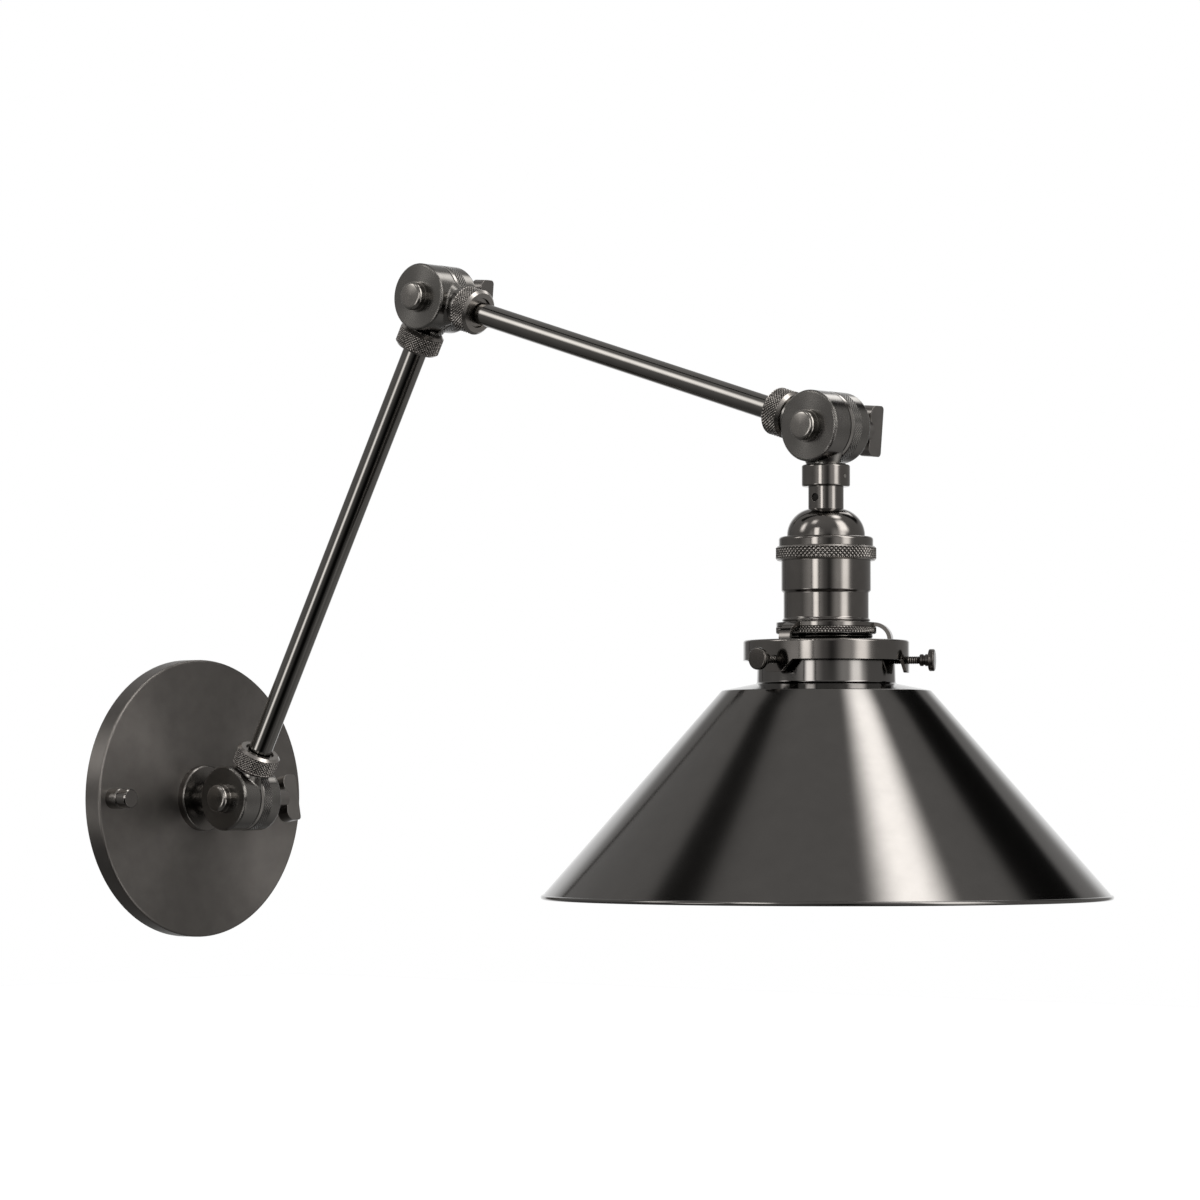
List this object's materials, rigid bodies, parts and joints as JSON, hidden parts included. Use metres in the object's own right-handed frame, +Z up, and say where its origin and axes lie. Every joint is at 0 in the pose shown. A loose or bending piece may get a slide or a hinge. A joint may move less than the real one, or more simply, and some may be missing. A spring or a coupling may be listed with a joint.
{
  "type": "articulating wall lamp",
  "caption": "Wall lamp with a round plate, jointed tube arms clamped by wing nuts, a screw-in lampholder and an open cone shade.",
  "frame": {"origin": "centre of the wall plate's back rim, on the wall plane", "axes": "+Z up, +Y into the wall, -Y out towards the room along the arms, +X to the side of the wing nuts"},
  "size_m": [0.2276, 0.4817, 0.2912],
  "materials": {
    "gunmetal_plate": "satin dark gunmetal plating on pressed steel",
    "gunmetal_polished": "bright black-nickel plating on turned brass",
    "gunmetal_tube": "bright black-nickel plating on drawn steel tube",
    "gunmetal_knurl": "black-nickel plating on fine diamond knurl",
    "gunmetal_spun": "brushed gunmetal plating on spun steel, grain round the axis",
    "bright_steel": "plain bright steel",
    "zinc_steel": "zinc-plated steel",
    "plain_brass": "plain turned brass",
    "contact_metal": "bright aluminium screw shell",
    "porcelain": "white porcelain",
    "phenolic": "black moulded phenolic",
    "wire_cover": "black insulation",
    "ground_green": "green-dyed zinc on a steel screw"
  },
  "bodies": {
    "wall_base": {"wall_plate": "gunmetal_plate", "mounting_strap": "zinc_steel", "ground_screw": "ground_green", "mounting_nipple": "zinc_steel", "nipple_lock_nut": "zinc_steel", "wall_collar": "gunmetal_polished", "wall_swivel_screw": "plain_brass", "switch_body": "phenolic", "switch_bushing": "zinc_steel", "switch_collar": "gunmetal_polished"},
    "switch_knob": {"switch_knob": "gunmetal_polished"},
    "wall_swivel": {"wall_knuckle_stem": "gunmetal_polished", "wall_bolt": "gunmetal_polished", "wall_friction_washer": "bright_steel"},
    "wall_wing_nut": {"wall_wing_nut": "gunmetal_polished"},
    "lower_arm": {"wall_knuckle_arm": "gunmetal_polished", "lower_wall_ferrule": "gunmetal_knurl", "lower_arm_tube": "gunmetal_tube", "lower_arm_wires": "wire_cover", "lower_elbow_ferrule": "gunmetal_knurl"},
    "lower_wall_nut": {"lower_wall_nut": "gunmetal_knurl"},
    "elbow_base": {"elbow_knuckle_lower": "gunmetal_polished", "elbow_bolt": "gunmetal_polished", "elbow_friction_washer": "bright_steel"},
    "lower_elbow_nut": {"lower_elbow_nut": "gunmetal_knurl"},
    "elbow_wing_nut": {"elbow_wing_nut": "gunmetal_polished"},
    "upper_arm": {"elbow_knuckle_upper": "gunmetal_polished", "upper_elbow_ferrule": "gunmetal_knurl", "upper_arm_tube": "gunmetal_tube", "upper_arm_wires": "wire_cover", "upper_head_ferrule": "gunmetal_knurl"},
    "upper_elbow_nut": {"upper_elbow_nut": "gunmetal_knurl"},
    "head_base": {"head_knuckle_arm": "gunmetal_polished", "head_bolt": "gunmetal_polished", "head_friction_washer": "bright_steel"},
    "upper_head_nut": {"upper_head_nut": "gunmetal_knurl"},
    "head_wing_nut": {"head_wing_nut": "gunmetal_polished"},
    "head_bracket": {"head_knuckle_holder": "gunmetal_polished", "head_collar": "gunmetal_polished", "head_stop_pin": "bright_steel", "head_swivel_screw": "plain_brass"},
    "lampholder": {"socket_cap": "gunmetal_polished", "socket_set_screw": "bright_steel", "socket_cap_ring": "gunmetal_polished", "socket_grip_ring": "gunmetal_knurl", "socket_shell": "gunmetal_polished", "socket_insulator": "porcelain", "lamp_screw_shell": "contact_metal", "lamp_centre_contact": "plain_brass", "terminal_screws": "plain_brass", "holder_ring": "gunmetal_knurl", "shade_holder": "gunmetal_polished"},
    "shade_screw_left": {"shade_screw_left": "gunmetal_polished"},
    "shade_screw_front": {"shade_screw_front": "gunmetal_polished"},
    "shade_screw_back": {"shade_screw_back": "gunmetal_polished"},
    "shade": {"shade": "gunmetal_spun"}
  },
  "joints": [
    {"name": "wall_swivel_turn", "type": "hinge", "parent": "wall_base", "child": "wall_swivel", "pos_m": [0, -0.0344, 0], "axis": [0, 1, 0], "range_deg": [-165, 165]},
    {"name": "wall_tilt", "type": "hinge", "parent": "wall_swivel", "child": "lower_arm", "pos_m": [0, -0.0344, 0], "axis": [1, 0, 0], "range_deg": [-28.9, 151.1]},
    {"name": "lower_arm_twist", "type": "hinge", "parent": "lower_arm", "child": "elbow_base", "pos_m": [0, -0.15305, 0.21493], "axis": [0, -0.4833, 0.8755], "range_deg": [-165, 165]},
    {"name": "elbow_tilt", "type": "hinge", "parent": "elbow_base", "child": "upper_arm", "pos_m": [0, -0.15305, 0.21493], "axis": [1, 0, 0], "range_deg": [-90, 34]},
    {"name": "upper_arm_twist", "type": "hinge", "parent": "upper_arm", "child": "head_base", "pos_m": [0, -0.36791, 0.14883], "axis": [0, -0.9558, -0.294], "range_deg": [-165, 165]},
    {"name": "head_tilt", "type": "hinge", "parent": "head_base", "child": "head_bracket", "pos_m": [0, -0.36791, 0.14883], "axis": [1, 0, 0], "range_deg": [-86, 40]},
    {"name": "head_swivel_turn", "type": "hinge", "parent": "head_bracket", "child": "lampholder", "pos_m": [0, -0.36791, 0.14883], "axis": [0, 0, 1], "range_deg": [-160, 160]},
    {"name": "shade_drop", "type": "slide", "parent": "lampholder", "child": "shade", "axis": [0, 0, -1], "range_m": [0, 0.12]},
    {"name": "wall_wing_nut_turn", "type": "hinge", "parent": "wall_swivel", "child": "wall_wing_nut", "pos_m": [0, -0.0344, 0], "axis": [1, 0, 0], "range_deg": [0, 360]},
    {"name": "elbow_wing_nut_turn", "type": "hinge", "parent": "elbow_base", "child": "elbow_wing_nut", "pos_m": [0, -0.15305, 0.21493], "axis": [1, 0, 0], "range_deg": [0, 360]},
    {"name": "head_wing_nut_turn", "type": "hinge", "parent": "head_base", "child": "head_wing_nut", "pos_m": [0, -0.36791, 0.14883], "axis": [1, 0, 0], "range_deg": [0, 360]},
    {"name": "lower_wall_nut_turn", "type": "hinge", "parent": "lower_arm", "child": "lower_wall_nut", "pos_m": [0, -0.0344, 0], "axis": [0, -0.4833, 0.8755], "range_deg": [0, 360]},
    {"name": "lower_elbow_nut_turn", "type": "hinge", "parent": "elbow_base", "child": "lower_elbow_nut", "pos_m": [0, -0.15305, 0.21493], "axis": [0, 0.4833, -0.8755], "range_deg": [0, 360]},
    {"name": "upper_elbow_nut_turn", "type": "hinge", "parent": "upper_arm", "child": "upper_elbow_nut", "pos_m": [0, -0.15305, 0.21493], "axis": [0, -0.9558, -0.294], "range_deg": [0, 360]},
    {"name": "upper_head_nut_turn", "type": "hinge", "parent": "head_base", "child": "upper_head_nut", "pos_m": [0, -0.36791, 0.14883], "axis": [0, 0.9558, 0.294], "range_deg": [0, 360]},
    {"name": "switch_turn", "type": "hinge", "parent": "wall_base", "child": "switch_knob", "pos_m": [-0.054, -0.009, 0], "axis": [0, 1, 0], "range_deg": [0, 90]},
    {"name": "shade_screw_left_travel", "type": "slide", "parent": "lampholder", "child": "shade_screw_left", "axis": [-1, 0, 0], "range_m": [0, 0.005]},
    {"name": "shade_screw_front_travel", "type": "slide", "parent": "lampholder", "child": "shade_screw_front", "axis": [0.5, -0.866, 0], "range_m": [0, 0.005]},
    {"name": "shade_screw_back_travel", "type": "slide", "parent": "lampholder", "child": "shade_screw_back", "axis": [0.5, 0.866, 0], "range_m": [0, 0.005]}
  ]
}
